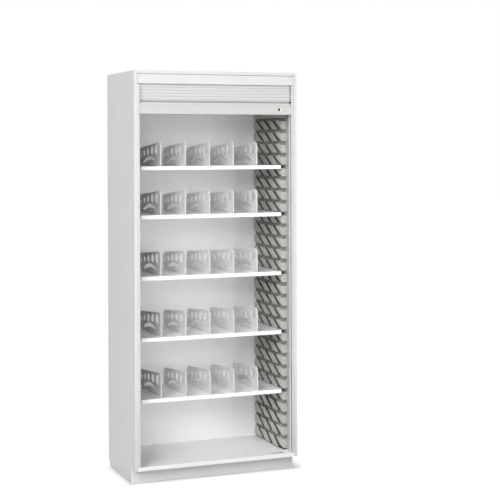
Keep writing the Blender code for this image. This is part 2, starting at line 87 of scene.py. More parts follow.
# Laminates: colour and roughness. All are one white melamine; the lighter greys on the inside boards, kick
# board and sill and the darker grey on the side panels' inner faces are painted light and shade
LAMINATES = {"white": ("laminate", 0.42), "fascia": ("laminate", 0.38), "plinth": ("plinth", 0.42),
             "inner": ("inner", 0.46), "lining": ("lining", 0.5), "sill": ("sill", 0.42)}
# Soft boxes: name, place, size, watts
LAMPS = (
    ("left", (-4.9, -5.4, 4.4), 4.0, 405.0),
    ("left_high", (-4.9, -2.8, 6.7), 4.0, 115.0),
    ("side", (-8.8, -0.3, 2.9), 4.0, 120.0),
    ("front", (-3.0, -8.4, 2.2), 4.0, 115.0),
    ("front_high", (-1.0, -7.0, 4.8), 4.0, 110.0),
    ("right", (3.8, -8.1, 1.9), 4.0, 115.0),
    ("low", (-0.8, -9.0, 0.5), 0.9, 30.0),
)
AIM = Vector((0.0, 0.0, 1.0))
CAMERA_PLACE = (-2.3491, -6.6188, 1.7312)
CAMERA_PAN, CAMERA_ROLL = -21.691, -0.193


def length(name, default, description):
    """A size in metres that a user may change."""
    return FloatProperty(name=name, description=description, default=default, subtype="DISTANCE",
                         unit="LENGTH", precision=5)


def colour(name, default, description):
    """A finish colour that a user may change."""
    return FloatVectorProperty(name=name, description=description, default=default, subtype="COLOR",
                               size=3, min=0.0, max=1.0)


class CabinetSizes(bpy.types.PropertyGroup):
    """Sizes of the visible detail."""

    board_round: length("Board edge", 0.0007, "Rounding of the boards' banded edges")
    board_gap: length("Board gap", 0.0004, "Joint at the ends of top panel and fascia")
    kick_gap: length("Kick gap", 0.0022, "Gap under the kick board")
    skirting_cut: length("Skirting cut", 0.0390, "Corner off the side panels' rear feet")
    sill_thick: length("Sill", 0.0035, "Thickness of the floor's front sill")
    top_gap: length("Top gap", 0.0040, "Depth of the joint over the fascia")
    fascia_lip: length("Fascia lip", 0.0009, "Stand of the fascia's lower lip")
    guide_round: length("Guide edge", 0.0006, "Rounding of the extruded guides")
    guide_lip: length("Guide lip", 0.0030, "Thickness of the guides' front lip")
    guide_slot: length("Guide slot", 0.0178, "Depth of the shutter's slot")
    lip_reach: length("Lip reach", 0.0015, "Overhang of the guides' front lip")
    guide_gap: length("Guide gap", 0.0020, "Gap between the guides and the fascia")
    slat_pitch: length("Slat pitch", 0.0156, "Height of a slat with its joint")
    slat_joint: length("Slat joint", 0.0013, "Open joint between two slats")
    slat_crown: length("Slat crown", 0.0011, "How far a slat's front bulges")
    slat_first: length("First slat", 0.0062, "Height of the lowest slat, which is cut")
    slat_end: length("Slat end", 0.0118, "Strip for the tabs at each end of the front slats")
    slat_tab: length("Slat tab", 0.0060, "Lower tab at each end of the front slats")
    tab_notch: length("Tab notch", 0.0020, "Step from a slat's edge to its tab's edge")
    hinge_strip: length("Hinge strip", 0.0092, "Height of the strip between bar and slats")
    bar_drop: length("Bar drop", 0.0030, "Drop of the bar's top edge below the solid one")
    bar_groove: length("Bar groove", 0.0135, "Drop of the bar's groove below its top")
    bar_notch: length("Bar notch", 0.0130, "Cut in the bar's top strip beside the lock")
    pad_round: length("Pad edge", 0.0040, "Rounding of the liner pads' rims")
    pad_corner: length("Pad corner", 0.0030, "Radius of the pads' pointed corners")
    pad_bend: length("Pad bend", 0.0450, "Radius of the pads' blunt corners")
    pad_height: length("Pad height", 0.0478, "Height of a row of pads")
    pad_pitch: length("Row pitch", 0.0635, "Step from row to row of pads")
    pad_step: length("Pad step", 0.1148, "Step from one slanted groove to the next")
    pad_rise: length("Pad rise", 0.0132, "Height of the lowest row over the foot")
    pad_foot: length("Pad foot", 0.0045, "Reach of the lowest pads below their row")
    pad_depth: length("Pad depth", 0.0130, "Depth of the grooves between the pads")
    slant_first: length("First slant", 0.0575, "First slanted groove behind the liner's front")
    slant_groove: length("Slanted groove", 0.0395, "Width of a slanted groove along its row")
    slant_run: length("Slant", 0.0780, "Run of a slanted groove over one row")
    post_bend: length("Post bend", 0.0110, "Outward turn of the liner's front")
    post_round: length("Post corner", 0.0028, "Radius of the liner's front corner")
    liner_end: length("Liner end", 0.0040, "Bare strip behind the last pads")
    mouth_drop: length("Mouth drop", 0.0048, "Dip of a groove at its front mouth")
    stop_rise: length("Stop rise", 0.0028, "Height of the stop in a groove's mouth")
    shelf_board: length("Shelf board", 0.0120, "Thickness of the shelves' board")
    shelf_lip: length("Shelf lip", 0.0090, "Depth of the shelves' deep front edge")
    shelf_round: length("Shelf edge", 0.0026, "Rounding of the shelves' front edge")
    shelf_corner: length("Shelf corner", 0.0030, "Radius of the shelves' front corners")
    shelf_left: length("Shelf left", 0.3865, "Reach of the front edge to the left")
    shelf_right: length("Shelf right", 0.4015, "Reach of the front edge to the right")
    shelf_tongue: length("Shelf tongue", 0.0125, "Reach of the tongues into the grooves")
    stop_reach: length("Stop reach", 0.4190, "Reach of the stops at the shelves' front")
    slit_aside: length("Slit aside", 0.0230, "Distance of a slit from its divider")
    slit_width: length("Slit width", 0.0016, "Width of a shelf's thin slit")
    plug_radius: length("Plug radius", 0.0046, "Radius of the key plug's face")
    plug_recess: length("Plug recess", 0.0034, "Set of the plug's face behind the solid one")
    plate_round: length("Divider edge", 0.0024, "Rounding of the dividers' edges")
    plate_hole: length("Divider hole", 0.0010, "Rounding of the dividers' holes")
    plate_bend: length("Divider corner", 0.0270, "Radius of the dividers' upper corners")
    plate_notch: length("Divider notch", 0.0050, "Height of the dividers' lower notches")
    plate_front: length("Divider front", 0.1280, "Height of the front edge over the shelf")
    plate_back: length("Divider back", 0.0945, "Height of the rear edge over the shelf")
    plate_foot: length("Divider foot", 0.0090, "Depth of the dividers' feet in the shelf")


class CabinetFinishes(bpy.types.PropertyGroup):
    """Colours of the finishes."""

    laminate: colour("Laminate", (0.620, 0.613, 0.607), "Melamine boards")
    # Painted light: the white melamine made lighter for the back and floor panels, which face the inside
    # and get less light
    inner: colour("Inner laminate", (0.940, 0.932, 0.925), "Boards that face the inside")
    # Painted light: the white melamine made lighter for the kick board and the toe faces beside it, which
    # sit in the shade of the overhang
    plinth: colour("Plinth", (0.730, 0.726, 0.722), "Kick board and the side panels' feet beside it")
    # Painted light: the white melamine made lighter for the sill's front face
    sill: colour("Sill", (0.840, 0.836, 0.832), "Sill along the floor's front edge")
    # Painted shade: the white melamine made darker for the side panels' inner faces
    lining: colour("Lining", (0.430, 0.428, 0.422), "Inner faces of the side panels")
    slats: colour("Slats", (0.550, 0.550, 0.542), "Extruded slats of the shutter")
    bar: colour("Bar", (0.520, 0.513, 0.505), "Bottom bar of the shutter")
    # Painted shade: the strip between bar and slats is darkened to stand for the shade in the recess above
    # the bar
    hinge: colour("Hinge", (0.330, 0.325, 0.320), "Soft strip between bar and slats")
    # Painted light and shade: one guide plastic in two tones, its other faces lighter than its front faces
    guide: colour("Guide", (0.780, 0.778, 0.774), "Guide channels")
    lip: colour("Lip", (0.560, 0.558, 0.554), "Front lips of the guides")
    web: colour("Web", (0.450, 0.447, 0.440), "Web behind the slats")
    felt: colour("Felt", (0.330, 0.322, 0.318), "Lining of the guide slots")
    pad: colour("Pad", (0.450, 0.448, 0.427), "Raised pads of the liners")
    # Painted shade: the groove floor and the groove walls are darker copies of the pad plastic
    groove: colour("Groove", (0.215, 0.214, 0.202), "Grooves between the rows of pads")
    shade: colour("Shade", (0.090, 0.090, 0.085), "Walls of the slanted grooves")
    # Painted shade: near-black for the gap under the lowest pads, the small blocks at the shelves' front
    # ends and the strip's end in the bar's notch
    gap: colour("Gap", (0.020, 0.020, 0.019), "Gap under the lowest pads, and rubber stops")
    shelf: colour("Shelf", (0.935, 0.935, 0.933), "Moulded shelves")
    divider: colour("Divider", (0.952, 0.946, 0.944), "Moulded dividers")
    nickel: colour("Nickel", (0.520, 0.485, 0.450), "Lock cylinder and plug")
    # Painted shade: near-black for the strike plate's band round the slot and for the slot's walls in the
    # floor
    slot_shade: colour("Bronze", (0.040, 0.031, 0.026), "Inlay of the strike plate")
    steel: colour("Steel", (0.520, 0.520, 0.530), "Cam, shaft and brackets")


def sizes():
    """The sizes set in the scene."""
    return bpy.context.scene.cabinet_sizes


def finishes():
    """The colours set in the scene."""
    return bpy.context.scene.cabinet_finishes


def corners(node):
    """Lowest and highest corner of a CAD node."""
    low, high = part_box(node)
    return Vector(low), Vector(high)


# Mesh tools


def cube(bm, low, high):
    """Adds a box between two corners and gives its vertices."""
    low, high = Vector(low), Vector(high)
    place = Matrix.Translation((low + high) / 2) @ Matrix.Diagonal((*(high - low), 1.0))
    return bmesh.ops.create_cube(bm, size=1.0, matrix=place)["verts"]


def drawn_out(bm, faces, along):
    """Draws faces out along a vector and gives the new vertices."""
    made = bmesh.ops.extrude_face_region(bm, geom=faces)["geom"]
    far = [v for v in made if isinstance(v, bmesh.types.BMVert)]
    bmesh.ops.translate(bm, vec=along, verts=far)
    return far


def outward(bm, faces):
    """Turns faces to look outward."""
    bmesh.ops.recalc_face_normals(bm, faces=list(faces))


def prism(bm, points, along):
    """Draws a flat outline out along a vector and gives all its vertices."""
    near = [bm.verts.new(p) for p in points]
    verts = near + drawn_out(bm, [bm.faces.new(near)], along)
    outward(bm, faces_of(verts))
    return verts


def beam(bm, outline, start, end):
    """Draws an outline of (y, z) points out along X and gives all its vertices."""
    return prism(bm, [(start, y, z) for y, z in outline], (end - start, 0, 0))


def ring(bm, points):
    """Joins points into a closed ring of edges."""
    verts = [bm.verts.new(p) for p in points]
    return [bm.edges.new((verts[i - 1], verts[i])) for i in range(len(verts))]


def filled(bm, edges, dissolve=False):
    """Fills rings of edges, leaving the inner ones open, and gives the faces."""
    made = bmesh.ops.triangle_fill(bm, use_beauty=True, use_dissolve=dissolve, edges=edges)["geom"]
    return [f for f in made if isinstance(f, bmesh.types.BMFace)]


def edges_of(verts):
    """Edges that join two of these vertices."""
    chosen = set(verts)
    return list({e for v in chosen for e in v.link_edges if e.other_vert(v) in chosen})


def faces_of(verts):
    """Faces that meet at any of these vertices."""
    return {f for v in verts for f in v.link_faces}


def paint(faces, index):
    """Gives faces one of their piece's finishes."""
    for face in faces:
        face.material_index = index


def sliced(bm, cuts):
    """Cuts a mesh by planes, each given as (place, direction)."""
    for place, normal in cuts:
        bmesh.ops.bisect_plane(bm, geom=bm.verts[:] + bm.edges[:] + bm.faces[:],
                               plane_co=[place * n for n in normal], plane_no=normal)


def soften(bm, edges, width, segments=2, material=-1):
    """Rounds the sharp edges among these, in the finish of their faces or in a given one."""
    bm.normal_update()
    sharp = [e for e in edges if e.is_manifold and e.calc_face_angle(0.0) > math.radians(25)]
    bmesh.ops.bevel(bm, geom=sharp, offset=width, offset_type="OFFSET", segments=segments, profile=0.5,
                    affect="EDGES", clamp_overlap=True, material=material)


def arc(centre, radius, start, end, steps):
    """Points of an arc between two angles in degrees."""
    angles = [math.radians(start + (end - start) * i / steps) for i in range(steps + 1)]
    return [(centre[0] + radius * math.cos(a), centre[1] + radius * math.sin(a)) for a in angles]


def rounded(points, radii, steps):
    """Replaces each corner of a flat outline with a curve, taking the radii in turn."""
    made = []
    for i, corner in enumerate(points):
        radius = radii[i % len(radii)]
        corner = Vector(corner)
        back = Vector(points[i - 1]) - corner
        ahead = Vector(points[(i + 1) % len(points)]) - corner
        reach = min(radius / math.tan(back.angle(ahead) / 2), back.length * 0.45, ahead.length * 0.45)
        start, end = corner + back.normalized() * reach, corner + ahead.normalized() * reach
        for k in range(steps + 1):
            t = k / steps
            made.append(start * (1 - t) ** 2 + corner * 2 * t * (1 - t) + end * t ** 2)
    return made


def turned(bm, profile, axis, steps=48):
    """Turns a closed outline of (radius, y) points about a line along Y."""
    edges = ring(bm, [(axis.x + radius, y, axis.z) for radius, y in profile])
    verts = list({v for e in edges for v in e.verts})
    bmesh.ops.spin(bm, geom=verts + edges, cent=(axis.x, 0, axis.z), axis=Y, angle=2 * math.pi,
                   steps=steps, use_merge=True, use_duplicate=False)


def put(name, data):
    """Puts an object in the scene."""
    thing = bpy.data.objects.new(name, data)
    bpy.context.scene.collection.objects.link(thing)
    return thing


def put_mesh(name, bm, materials):
    """Puts a bmesh in the scene with its finishes."""
    mesh = bpy.data.meshes.new(name)
    bm.to_mesh(mesh)
    bm.free()
    for material in materials:
        mesh.materials.append(material)
    return put(name, mesh)


def make_piece(name, bm, materials, body, nodes):
    """Makes a bmesh a named piece that rides on a body and stands for CAD nodes."""
    outward(bm, bm.faces)
    piece = put_mesh(name, bm, materials)
    piece.data.shade_smooth()
    piece.data.set_sharp_from_angle(angle=math.radians(50))
    flats = piece.modifiers.new("even flats", "WEIGHTED_NORMAL")
    flats.keep_sharp = True
    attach(piece, body)
    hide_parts(*nodes)
    return piece


def dress(node, material):
    """Gives a CAD node its finish."""
    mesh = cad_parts[node].data
    mesh.materials.clear()
    mesh.materials.append(material)


# Material tools


def shader_group(name, inputs, outputs):
    """An empty shader group with named number sockets, as (group, input node, output node)."""
    group = bpy.data.node_groups.new(name, "ShaderNodeTree")
    for label, default in inputs:
        socket = group.interface.new_socket(name=label, in_out="INPUT", socket_type="NodeSocketFloat")
        socket.default_value = default
    for label in outputs:
        group.interface.new_socket(name=label, in_out="OUTPUT", socket_type="NodeSocketFloat")
    return group, group.nodes.new("NodeGroupInput"), group.nodes.new("NodeGroupOutput")


def add_node(tree, kind, inputs=None, **settings):
    """A shader node with its settings and unlinked inputs filled in."""
    made = tree.nodes.new(kind)
    for key, value in settings.items():
        setattr(made, key, value)
    for key, value in (inputs or {}).items():
        made.inputs[key].default_value = value
    return made


def wire(tree, *links):
    """Links nodes, each link given as (from, its output, to, its input)."""
    for start, out, end, into in links:
        tree.links.new(start.outputs[out], end.inputs[into])


def grain_group():
    """Fine moulded or melamine grain: a slow cloud, a roughness and a bump height."""
    name = "surface_grain"
    if name in bpy.data.node_groups:
        return bpy.data.node_groups[name]
    group, start, end = shader_group(
        name, [("Fine Scale", 900.0), ("Cloud Scale", 5.0), ("Roughness", 0.4), ("Spread", 0.08)],
        ["Cloud", "Roughness", "Height"])
    place = add_node(group, "ShaderNodeTexCoord")
    fine = add_node(group, "ShaderNodeTexNoise", {"Detail": 2.0, "Roughness": 0.55})
    cloud = add_node(group, "ShaderNodeTexNoise", {"Detail": 3.0, "Roughness": 0.5})
    centre = add_node(group, "ShaderNodeMath", {1: 0.5}, operation="SUBTRACT")
    spread = add_node(group, "ShaderNodeMath", operation="MULTIPLY_ADD")
    wire(group, (place, "Object", fine, "Vector"), (place, "Object", cloud, "Vector"),
         (start, "Fine Scale", fine, "Scale"), (start, "Cloud Scale", cloud, "Scale"),
         (cloud, "Fac", end, "Cloud"), (fine, "Fac", centre, 0), (centre, 0, spread, 0),
         (start, "Spread", spread, 1), (start, "Roughness", spread, 2),
         (spread, 0, end, "Roughness"), (fine, "Fac", end, "Height"))
    return group


def streak_group():
    """Streaks left by drawing or extruding along X: a mask and a bump height."""
    name = "drawn_streaks"
    if name in bpy.data.node_groups:
        return bpy.data.node_groups[name]
    group, start, end = shader_group(name, [("Along", 2.0), ("Across", 700.0)], ["Streak", "Height"])
    place = add_node(group, "ShaderNodeTexCoord")
    stretch = add_node(group, "ShaderNodeCombineXYZ")
    scaled = add_node(group, "ShaderNodeVectorMath", operation="MULTIPLY")
    noise = add_node(group, "ShaderNodeTexNoise", {"Scale": 1.0, "Detail": 3.0, "Roughness": 0.6})
    wire(group, (start, "Along", stretch, "X"), (start, "Across", stretch, "Y"),
         (start, "Across", stretch, "Z"), (place, "Object", scaled, 0), (stretch, 0, scaled, 1),
         (scaled, 0, noise, "Vector"), (noise, "Fac", end, "Streak"), (noise, "Fac", end, "Height"))
    return group


def shade(tone, factor):
    """A colour made lighter or darker."""
    return tuple(min(1.0, c * factor) for c in tone)


def finish(name, tone, roughness, fine=900.0, cloud=5.0, spread=0.08, contrast=0.02, bump=0.08,
           depth=0.0002, metallic=0.0, streaks=False, through=0.0):
    """A grained finish, with streaks along X where the piece is extruded, that may let light through."""
    if name in bpy.data.materials:
        return bpy.data.materials[name]
    material = bpy.data.materials.new(name)
    material.use_nodes = True
    tree = material.node_tree
    shader = tree.nodes["Principled BSDF"]
    shader.inputs["Metallic"].default_value = metallic
    grain = add_node(tree, "ShaderNodeGroup", {"Fine Scale": fine, "Cloud Scale": cloud, "Spread": spread,
                                               "Roughness": roughness}, node_tree=grain_group())
    source, mask = grain, "Cloud"
    if streaks:
        source, mask = add_node(tree, "ShaderNodeGroup", node_tree=streak_group()), "Streak"
    tint = add_node(tree, "ShaderNodeValToRGB")
    first, last = tint.color_ramp.elements
    first.position, first.color = 0.3, (*shade(tone, 1 - contrast), 1.0)
    last.position, last.color = 0.7, (*shade(tone, 1 + contrast), 1.0)
    relief = add_node(tree, "ShaderNodeBump", {"Strength": bump, "Distance": depth})
    wire(tree, (source, mask, tint, "Fac"), (tint, "Color", shader, "Base Color"),
         (grain, "Roughness", shader, "Roughness"), (source, "Height", relief, "Height"),
         (relief, "Normal", shader, "Normal"))
    if through:
        thin = add_node(tree, "ShaderNodeBsdfTranslucent")
        mix = add_node(tree, "ShaderNodeMixShader", {0: through})
        wire(tree, (tint, "Color", thin, "Color"), (shader, 0, mix, 1), (thin, 0, mix, 2),
             (mix, 0, tree.nodes["Material Output"], "Surface"))
    return material


def melamine(kind="white"):
    """Laminate of one kind of board."""
    tone, roughness = LAMINATES[kind]
    return finish(f"{kind}_melamine", getattr(finishes(), tone), roughness)


def slot_shade_finish():
    """Near-black finish painted as the shade in the cam's slot."""
    return finish("strike_inlay", finishes().slot_shade, 0.45, contrast=0.1)


def steel(name, tone, roughness, fine=1500.0, **settings):
    """A metal finish."""
    return finish(name, tone, roughness, fine=fine, metallic=1.0, **settings)


# Operators, one for each group of pieces


class CABINET_OT_boards(bpy.types.Operator):
    """Side panels, top, back, floor, kick board and fascia"""

    bl_idname = "cabinet.boards"
    bl_label = "Boards"

    def execute(self, context):
        for word, _ in SIDES:
            self.side_panel(f"side_panel_{word}")
        none, ends = Vector(), Vector((sizes().board_gap, 0, 0))
        under = Vector((0, 0, sizes().kick_gap))
        # The back panel and kick board take lighter copies of the white melamine, painted light
        for name, material, below, above in (("top_panel", melamine(), ends, ends),
                                             ("back_panel", melamine("inner"), none, none),
                                             ("kick_board", melamine("plinth"), under, none)):
            low, high = corners(name)
            bm = bmesh.new()
            cube(bm, low + below, high - above)
            self.board(name, bm, [material])
        self.fascia()
        self.floor()
        return {"FINISHED"}

    def board(self, name, bm, materials):
        """Rounds a board's edges and makes it a piece."""
        soften(bm, bm.edges, sizes().board_round)
        make_piece(f"board_{name}", bm, materials, "cabinet", [name])

    def side_panel(self, name):
        """Panel with a toe notch in front and a skirting cut behind."""
        low, high = corners(name)
        notch_y, notch_z = corners("kick_board")[0].y, corners("floor_panel")[0].z
        cut = sizes().skirting_cut
        outline = [(low.y, notch_z), (notch_y, notch_z), (notch_y, low.z), (high.y - cut, low.z),
                   (high.y, low.z + cut), (high.y, high.z), (low.y, high.z)]
        bm = bmesh.new()
        beam(bm, outline, low.x, high.x)
        # Painted light: the toe faces beside the kick board take its lighter grey
        paint([f for f in bm.faces if f.normal.y < -0.9 and f.calc_center_median().z < notch_z], 1)
        # Painted shade: the inner faces take the darker grey
        paint([f for f in bm.faces if f.normal.x * (low.x + high.x) < -NEAR], 2)
        self.board(name, bm, [melamine(), melamine("plinth"), melamine("lining")])

    def fascia(self):
        """Board with a thin lip along its lower edge and a rebate under the top panel."""
        s = sizes()
        low, high = corners("fascia")
        play, lip_top, lip_flat, edge = 0.0004, 0.0030, 0.0022, 0.0005
        top, lip, gap = corners("top_panel")[0].z - play, low.y - s.fascia_lip, low.y + s.top_gap
        outline = [(lip, low.z), (high.y, low.z), (high.y, top), (gap, top), (gap, high.z),
                   (low.y, high.z), (low.y, low.z + lip_top), (lip, low.z + lip_flat)]
        bm = bmesh.new()
        beam(bm, outline, low.x + s.board_gap, high.x - s.board_gap)
        soften(bm, bm.edges, edge)
        make_piece("board_fascia", bm, [melamine("fascia")], "cabinet", ["fascia"])

    def floor(self):
        """Floor panel with its raised sill and the slot for the lock's cam."""
        low, high = corners("floor_panel")
        plate_low, plate_high = corners("strike_plate")
        rim = Vector((0.0065, 0.0047, 0))
        top, sill = plate_low.z, low.y + sizes().sill_thick
        outline = [(low.y, low.z), (high.y, low.z), (high.y, top), (sill, top), (sill, high.z),
                   (low.y, high.z)]
        bm = bmesh.new()
        beam(bm, outline, low.x, high.x)
        # Painted light: the front faces take the sill's lighter grey
        paint([f for f in bm.faces if f.normal.y < -0.5], 2)
        soften(bm, bm.edges, sizes().board_round)
        self.slot(bm, plate_low + rim, plate_high - rim)
        make_piece("board_floor_panel", bm, [melamine("inner"), slot_shade_finish(), melamine("sill")], "cabinet",
                   ["floor_panel"])

    def slot(self, bm, low, high):
        """Cuts an upright slot through a panel."""
        sliced(bm, ((low.x, X), (high.x, X), (low.y, Y), (high.y, Y)))
        middle = (low + high) / 2
        lids = [f for f in bm.faces if abs(f.normal.z) > 0.9
                and (f.calc_center_median().xy - middle.xy).length < NEAR]
        borders = list({e for f in lids for e in f.edges})
        bmesh.ops.delete(bm, geom=lids, context="FACES_ONLY")
        # Painted shade: the slot's walls are near-black
        paint(bmesh.ops.bridge_loops(bm, edges=borders)["faces"], 1)


class CABINET_OT_guides(bpy.types.Operator):
    """Extruded channels in which the shutter runs"""

    bl_idname = "cabinet.guides"
    bl_label = "Guides"

    def execute(self, context):
        s = sizes()
        plastic = finish("guide_plastic", finishes().guide, 0.38)
        front = finish("guide_front_plastic", finishes().lip, 0.38)
        felt = finish("guide_felt", finishes().felt, 0.9, fine=1600.0, contrast=0.15, bump=0.4)
        thick, chamfer, chamfer_depth = 0.0022, 0.0012, 0.0016
        for word, side in SIDES:
            name = f"guide_{word}"
            low, high = corners(name)
            wall, lip = (high.x, low.x) if side > 0 else (low.x, high.x)
            web, edge = wall - side * thick, lip - side * s.lip_reach
            slot = low.y + s.guide_lip
            back = slot + s.guide_slot
            outline = [(wall - side * chamfer, low.y), (edge, low.y), (edge, slot), (web, slot),
                       (web, back), (lip, back), (lip, high.y), (wall, high.y),
                       (wall, low.y + chamfer_depth)]
            bm = bmesh.new()
            prism(bm, [(x, y, low.z) for x, y in outline], (0, 0, high.z - s.guide_gap - low.z))
            for face in bm.faces:
                middle = face.calc_center_median()
                inside = slot - TINY < middle.y < back + TINY and abs(middle.x) > abs(lip) + TINY
                if inside and abs(face.normal.z) < 0.5:
                    face.material_index = 1
                # Painted shade: the front faces take the darker of the guide's two tones
                if face.normal.y < -0.9 and middle.y < slot - TINY:
                    face.material_index = 2
            soften(bm, bm.edges, s.guide_round)
            make_piece(f"channel_{name}", bm, [plastic, felt, front], "cabinet", [name])
        return {"FINISHED"}


class CABINET_OT_liners(bpy.types.Operator):
    """Moulded wall liners with rows of slanted pads"""

    bl_idname = "cabinet.liners"
    bl_label = "Wall liners"

    def execute(self, context):
        s, f = sizes(), finishes()
        moulded = {"fine": 700.0, "cloud": 9.0}
        materials = [finish("liner_pad_plastic", f.pad, 0.48, contrast=0.03, bump=0.12, **moulded)]
        # The groove, wall and gap tones are painted shade on the one liner plastic
        for word, tone, roughness in (("groove", f.groove, 0.6), ("shade", f.shade, 0.7),
                                      ("gap", f.gap, 0.8)):
            materials.append(finish(f"liner_{word}_plastic", tone, roughness, contrast=0.05, **moulded))
        for word, side in SIDES:
            name = f"wall_liner_{word}"
            low, high = corners(name)
            wall, face = (high.x, low.x) if side > 0 else (low.x, high.x)
            rows = int((high.z - low.z) / s.pad_pitch)
            bm = bmesh.new()
            for row in range(rows):
                foot = low.z + s.pad_rise + row * s.pad_pitch
                top = foot + s.pad_height
                self.row(bm, low.y, high.y, foot if row else foot - s.pad_foot, top, face, wall, side)
            self.band(bm, low.y, high.y, foot + s.pad_pitch, high.z, face, wall, side)
            self.base(bm, low, high, face, wall, side)
            make_piece(f"moulded_{name}", bm, materials, "cabinet", [name])
        return {"FINISHED"}

    def row(self, bm, front, back, foot, top, face, wall, side):
        """One row: front pad round the post, two slanted pads and a rear pad with a round end."""
        s = sizes()
        half, lean = s.slant_groove / 2, s.slant_run / 2
        grooves = [front + s.slant_first + s.pad_step * i for i in range(3)]
        overlap, bend, margin = 0.0005, 0.020, 0.003
        root = face + side * (s.pad_depth + overlap)
        for i in range(2):
            a, b = grooves[i] + half, grooves[i + 1] - half
            outline = [(a - lean, foot), (b - lean, foot), (b + lean, top), (a + lean, top)]
            self.pad(bm, rounded(outline, (s.pad_corner, s.pad_bend), 3), face, root)
        a, turn = grooves[2] + half, back - s.liner_end - bend
        rear = [(a - lean, foot), *arc((turn, foot + bend), bend, -90, 0, 4),
                *arc((turn, top - bend), bend, 0, 90, 4), (a + lean, top)]
        self.pad(bm, rear, face, root)
        dip, rise, fall, rest = (front + step for step in MOUTH)
        stop, mouth = top + s.stop_rise, top - s.mouth_drop
        outline = [(front, foot), (grooves[0] - half + lean, top), (rest, top), (fall, stop), (rise, stop),
                   (dip, mouth), (front, mouth)]
        verts = beam(bm, outline, wall, face)
        # Painted shade: the front pad's faces that look into the first slanted groove
        paint([f for f in faces_of(verts) if f.normal.y > 0.3], 2)
        verts = self.bend(bm, verts, front, face, side)
        bm.normal_update()
        rim = [e for e in edges_of(verts) if all(abs(v.co.x - wall) > margin for v in e.verts)
               and sum(-side * f.normal.x > 0.5 for f in e.link_faces) == 1]
        soften(bm, rim, s.post_round, material=0)

    def band(self, bm, front, back, foot, top, face, wall, side):
        """Plain band over the top row."""
        end = back - sizes().liner_end
        verts = beam(bm, ((front, foot), (end, foot), (end, top), (front, top)), wall, face)
        self.bend(bm, verts, front, face, side)

    def bend(self, bm, verts, front, face, side):
        """Turns the front of a face gently outward, in flat strips."""
        reach = BEND_STEPS[-1]
        part = list(verts) + edges_of(verts) + list(faces_of(verts))
        for step in BEND_STEPS:
            part = bmesh.ops.bisect_plane(bm, geom=part, plane_co=(0, front + step, 0),
                                          plane_no=Y)["geom"]
        verts = [v for v in part if isinstance(v, bmesh.types.BMVert)]
        for vert in verts:
            if abs(vert.co.x - face) < TINY and vert.co.y < front + reach:
                vert.co.x += side * sizes().post_bend * (1 - (vert.co.y - front) / reach) ** 2
        return verts

    def pad(self, bm, outline, face, root):
        """One raised pad with a rounded rim."""
        verts = beam(bm, outline, root, face)
        for wall in faces_of(verts):
            if abs(wall.normal.x) < 0.5:
                # Painted shade: pad walls facing along the row take the darkest tone, the others the
                # groove tone
                wall.material_index = 2 if abs(wall.normal.y) > 0.3 else 1
        rim = [e for e in edges_of(verts) if all(abs(v.co.x - face) < TINY for v in e.verts)]
        soften(bm, rim, sizes().pad_round, material=0)

    def base(self, bm, low, high, face, wall, side):
        """Floor of the grooves, carried round the front corner."""
        s = sizes()
        x0, x1 = sorted((face + side * s.pad_depth, wall))
        split, front = low.z + s.pad_rise, low.y + s.pad_depth
        # Painted shade: the foot strip is near-black for the gap under the lowest pads, and the groove
        # floor above it is darker than the pads
        for foot, top, index in ((low.z, split, 3), (split, high.z, 1)):
            verts = cube(bm, (x0, front, foot), (x1, high.y, top))
            paint(faces_of(verts), index)
            self.bend(bm, verts, low.y, face + side * s.pad_depth, side)


